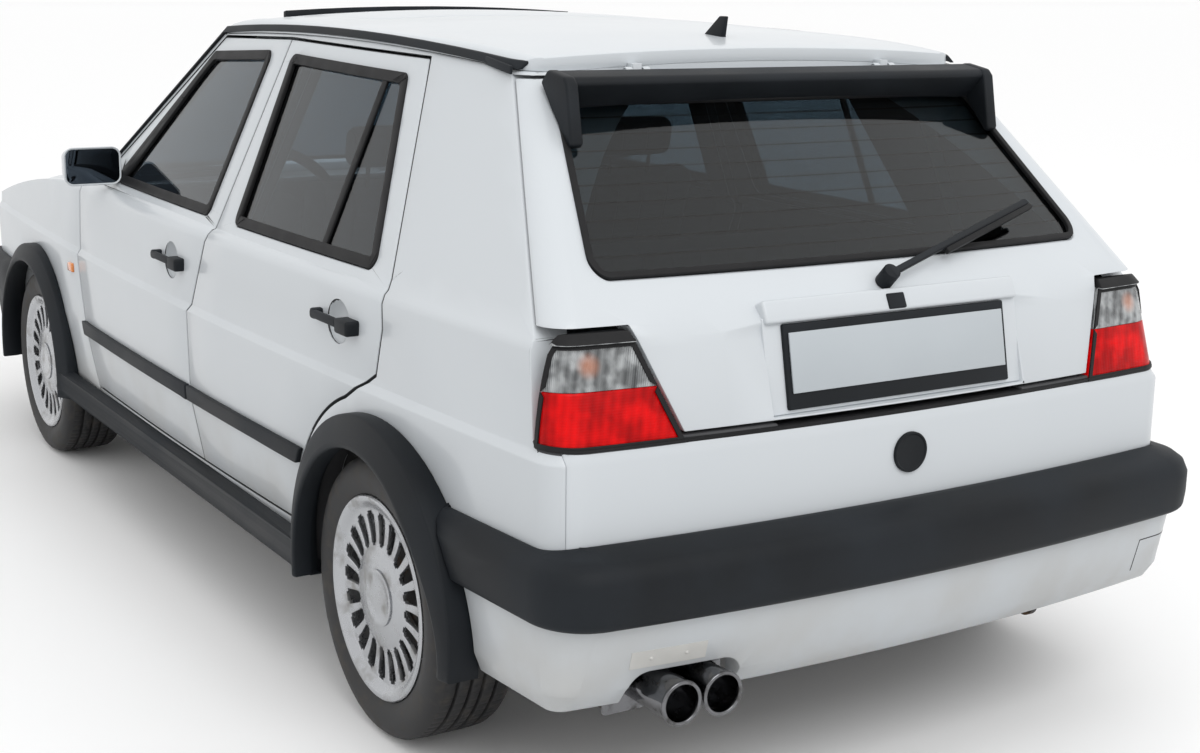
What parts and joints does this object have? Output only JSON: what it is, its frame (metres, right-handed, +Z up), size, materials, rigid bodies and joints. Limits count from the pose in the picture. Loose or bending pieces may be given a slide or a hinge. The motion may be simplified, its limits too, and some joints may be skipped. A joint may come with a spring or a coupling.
{
  "type": "compact five-door hatchback car",
  "caption": "Boxy white compact hatchback car with black bumpers, arch flares and rear spoiler; doors, tailgate and bonnet open, front wheels steer and all wheels roll.",
  "frame": {"origin": "on the ground under the middle of the car's bounding box", "axes": "+X forward along the car, +Y to the car's left, +Z up"},
  "size_m": [4.04, 1.816, 1.4279],
  "materials": {
    "body_paint": "aged cool white gloss paint",
    "black_plastic": "grained charcoal plastic",
    "tinted_glass": "lightly tinted",
    "lamp_red": "ribbed red lens",
    "lamp_clear": "ribbed clear lens",
    "tyre_rubber": "worn road rubber",
    "rim_alloy": "silver lacquer with polished lip",
    "underbody_metal": "sealed and dusty",
    "chassis_iron": "dusty black",
    "tank_plastic": "moulded",
    "exhaust_steel": "heat-stained",
    "seat_fabric": "woven charcoal cloth",
    "cabin_plastic": "grained"
  },
  "bodies": {
    "shell": {"arch_flares": "black_plastic", "body_sides": "body_paint", "bulkhead": "underbody_metal", "dashboard": "cabin_plastic", "engine_block": "chassis_iron", "exhaust": "exhaust_steel", "floor_pan": "underbody_metal", "front_bumper": "black_plastic", "front_fenders": "body_paint", "front_panel": "underbody_metal", "front_seats": "seat_fabric", "front_spoiler": "black_plastic", "front_subframe": "chassis_iron", "fuel_tank": "tank_plastic", "grille": "black_plastic", "headlamps": "lamp_clear", "hinges": "body_paint", "rear_axle": "chassis_iron", "rear_bumper": "black_plastic", "rear_panel": "body_paint", "rear_seat": "seat_fabric", "rear_valance": "body_paint", "roof_panel": "body_paint", "roof_trim": "black_plastic", "sunroof_panel": "body_paint", "tail_lamps_clear": "lamp_clear", "tail_lamps_red": "lamp_red", "towing_eye": "chassis_iron", "wheel_houses": "underbody_metal", "windscreen": "tinted_glass"},
    "door_front_left": {"door_front_left": "body_paint", "door_front_glass_left": "tinted_glass", "door_front_trim_left": "black_plastic"},
    "door_front_right": {"door_front_right": "body_paint", "door_front_glass_right": "tinted_glass", "door_front_trim_right": "black_plastic"},
    "door_rear_left": {"door_rear_left": "body_paint", "door_rear_glass_left": "tinted_glass", "door_rear_trim_left": "black_plastic"},
    "door_rear_right": {"door_rear_right": "body_paint", "door_rear_glass_right": "tinted_glass", "door_rear_trim_right": "black_plastic"},
    "tailgate": {"tailgate": "body_paint", "tailgate_glass": "tinted_glass", "tailgate_trim": "black_plastic"},
    "bonnet": {"bonnet": "body_paint"},
    "knuckle_left": {"knuckle_left": "chassis_iron"},
    "knuckle_right": {"knuckle_right": "chassis_iron"},
    "wheel_front_left": {"tyre_front_left": "tyre_rubber", "rim_front_left": "rim_alloy"},
    "wheel_front_right": {"tyre_front_right": "tyre_rubber", "rim_front_right": "rim_alloy"},
    "wheel_rear_left": {"tyre_rear_left": "tyre_rubber", "rim_rear_left": "rim_alloy"},
    "wheel_rear_right": {"tyre_rear_right": "tyre_rubber", "rim_rear_right": "rim_alloy"},
    "steering_wheel": {"steering_wheel": "cabin_plastic"}
  },
  "joints": [
    {"name": "door_front_left_hinge", "type": "hinge", "parent": "shell", "child": "door_front_left", "pos_m": [0.7145, 0.8275, 0.62], "axis": [0, 0, -1], "range_deg": [0, 65]},
    {"name": "door_front_right_hinge", "type": "hinge", "parent": "shell", "child": "door_front_right", "pos_m": [0.7145, -0.8275, 0.62], "axis": [0, 0, 1], "range_deg": [0, 65]},
    {"name": "door_rear_left_hinge", "type": "hinge", "parent": "shell", "child": "door_rear_left", "pos_m": [-0.2525, 0.8275, 0.62], "axis": [0, 0, -1], "range_deg": [0, 65]},
    {"name": "door_rear_right_hinge", "type": "hinge", "parent": "shell", "child": "door_rear_right", "pos_m": [-0.2525, -0.8275, 0.62], "axis": [0, 0, 1], "range_deg": [0, 65]},
    {"name": "tailgate_hinge", "type": "hinge", "parent": "shell", "child": "tailgate", "pos_m": [-1.434, 0, 1.327], "axis": [0, 1, 0], "range_deg": [0, 85]},
    {"name": "bonnet_hinge", "type": "hinge", "parent": "shell", "child": "bonnet", "pos_m": [0.74, 0, 0.9], "axis": [0, -1, 0], "range_deg": [0, 55]},
    {"name": "steer_left", "type": "hinge", "parent": "shell", "child": "knuckle_left", "pos_m": [1.205, 0.69, 0.288], "axis": [0, 0, 1], "range_deg": [-30, 30]},
    {"name": "steer_right", "type": "hinge", "parent": "shell", "child": "knuckle_right", "pos_m": [1.205, -0.69, 0.288], "axis": [0, 0, 1], "range_deg": [-30, 30]},
    {"name": "steering_column", "type": "hinge", "parent": "shell", "child": "steering_wheel", "pos_m": [0.33, 0.345, 0.84], "axis": [-0.9136, 0, 0.4067], "range_deg": [-480, 480]},
    {"name": "wheel_front_left_spin", "type": "hinge", "parent": "knuckle_left", "child": "wheel_front_left", "pos_m": [1.205, 0.711, 0.288], "axis": [0, 1, 0], "continuous": true},
    {"name": "wheel_front_right_spin", "type": "hinge", "parent": "knuckle_right", "child": "wheel_front_right", "pos_m": [1.205, -0.711, 0.288], "axis": [0, 1, 0], "continuous": true},
    {"name": "wheel_rear_left_spin", "type": "hinge", "parent": "shell", "child": "wheel_rear_left", "pos_m": [-1.27, 0.711, 0.288], "axis": [0, 1, 0], "continuous": true},
    {"name": "wheel_rear_right_spin", "type": "hinge", "parent": "shell", "child": "wheel_rear_right", "pos_m": [-1.27, -0.711, 0.288], "axis": [0, 1, 0], "continuous": true}
  ],
  "couplings": [
    {"joint": "steer_right", "follows": "steer_left", "ratio": 1},
    {"joint": "steering_column", "follows": "steer_left", "ratio": 16}
  ]
}
